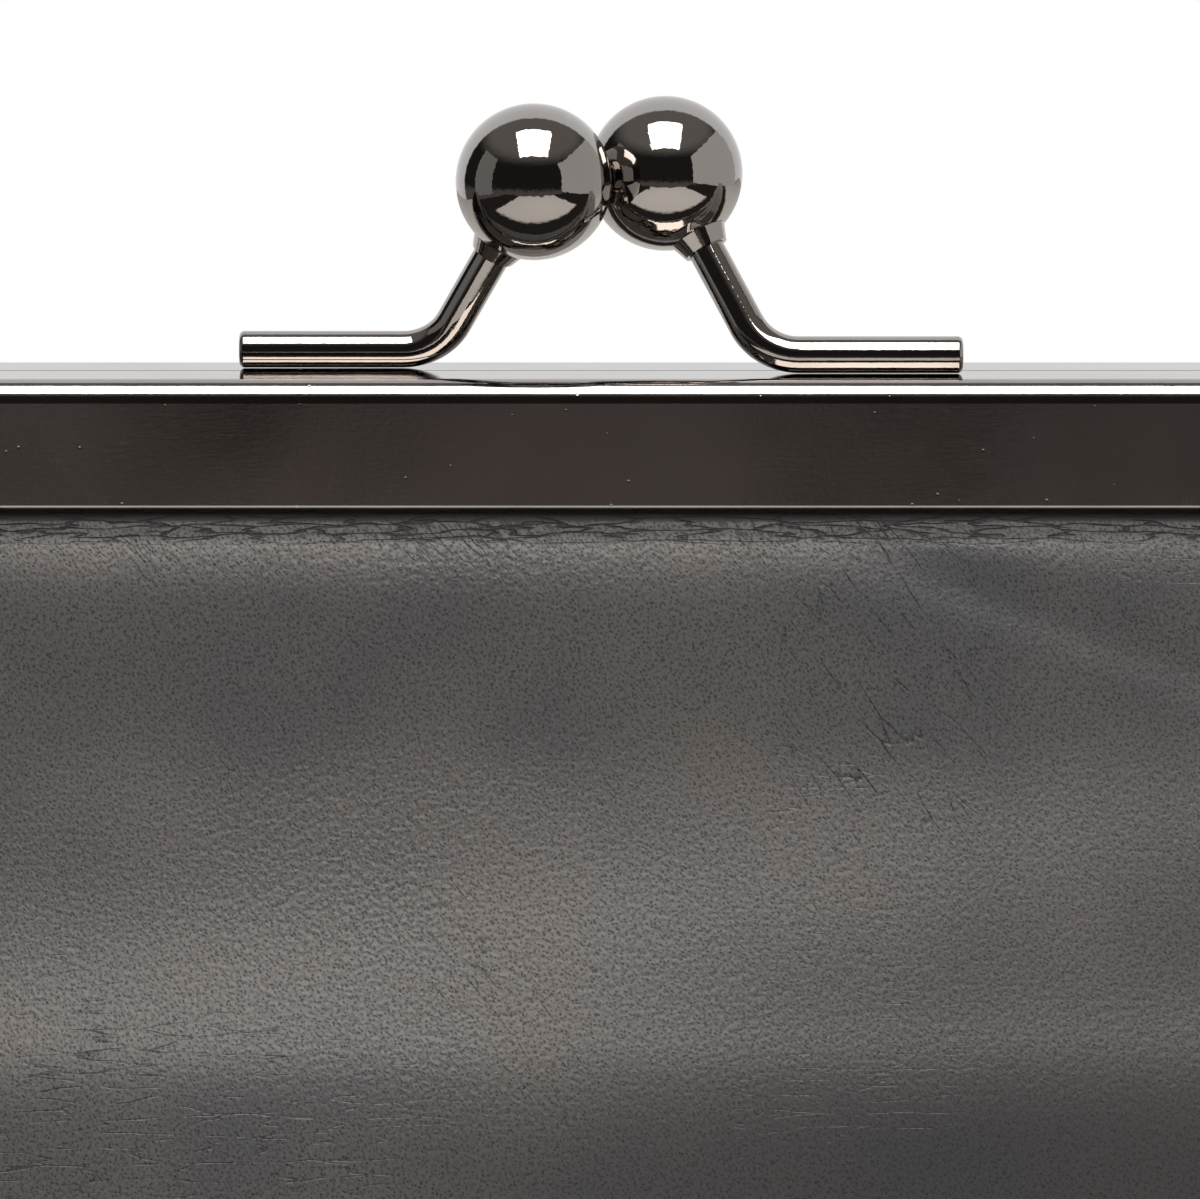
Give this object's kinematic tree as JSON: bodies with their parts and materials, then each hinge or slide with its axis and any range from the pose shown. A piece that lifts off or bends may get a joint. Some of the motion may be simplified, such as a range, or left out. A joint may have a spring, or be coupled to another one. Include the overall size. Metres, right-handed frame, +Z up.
{
  "type": "kiss lock frame purse",
  "caption": "Soft leather purse on a hinged U-shaped metal frame that closes with two crossed clasp balls on bent rods.",
  "frame": {"origin": "middle of the flat base, on the surface that the purse stands on", "axes": "+X along the frame to the right, -Y out of the front, +Z up"},
  "size_m": [0.206, 0.0472, 0.141],
  "materials": {
    "black_nickel": "polished black nickel plating on steel",
    "leather": "smooth full grain, soft sheen",
    "lining": "woven twill",
    "paper_cord": "twisted kraft paper",
    "board": "grey board",
    "washer": "bright spring steel"
  },
  "bodies": {
    "pouch": {"front_leather_lower": "leather", "rear_leather_lower": "leather", "front_lining_lower": "lining", "rear_lining_lower": "lining", "left_gusset": "leather", "right_gusset": "leather", "bottom_panel": "leather", "gusset_lining": "lining", "base_stiffener": "board", "hinge_rivets": "black_nickel", "hinge_washers": "washer"},
    "front_half": {"front_frame": "black_nickel", "front_paper_cord": "paper_cord", "front_leather_upper": "leather", "front_lining_upper": "lining"},
    "rear_half": {"rear_frame": "black_nickel", "rear_hinge_plates": "black_nickel", "rear_paper_cord": "paper_cord", "rear_leather_upper": "leather", "rear_lining_upper": "lining"},
    "front_clasp": {"front_clasp_stem": "black_nickel", "front_clasp_collar": "black_nickel", "front_clasp_ball": "black_nickel"},
    "rear_clasp": {"rear_clasp_stem": "black_nickel", "rear_clasp_collar": "black_nickel", "rear_clasp_ball": "black_nickel"}
  },
  "joints": [
    {"name": "front_opening", "type": "hinge", "parent": "pouch", "child": "front_half", "pos_m": [0, 0, 0.058], "axis": [1, 0, 0], "range_deg": [0, 55]},
    {"name": "rear_opening", "type": "hinge", "parent": "pouch", "child": "rear_half", "pos_m": [0, 0, 0.058], "axis": [1, 0, 0], "range_deg": [-55, 0]},
    {"name": "front_clasp_spring", "type": "slide", "parent": "front_half", "child": "front_clasp", "axis": [1, 0, 0], "range_m": [0, 0.0013], "stiffness_N_per_m": 15000},
    {"name": "rear_clasp_spring", "type": "slide", "parent": "rear_half", "child": "rear_clasp", "axis": [-1, 0, 0], "range_m": [0, 0.0013], "stiffness_N_per_m": 15000}
  ],
  "couplings": [
    {"joint": "rear_opening", "follows": "front_opening", "ratio": -1}
  ]
}
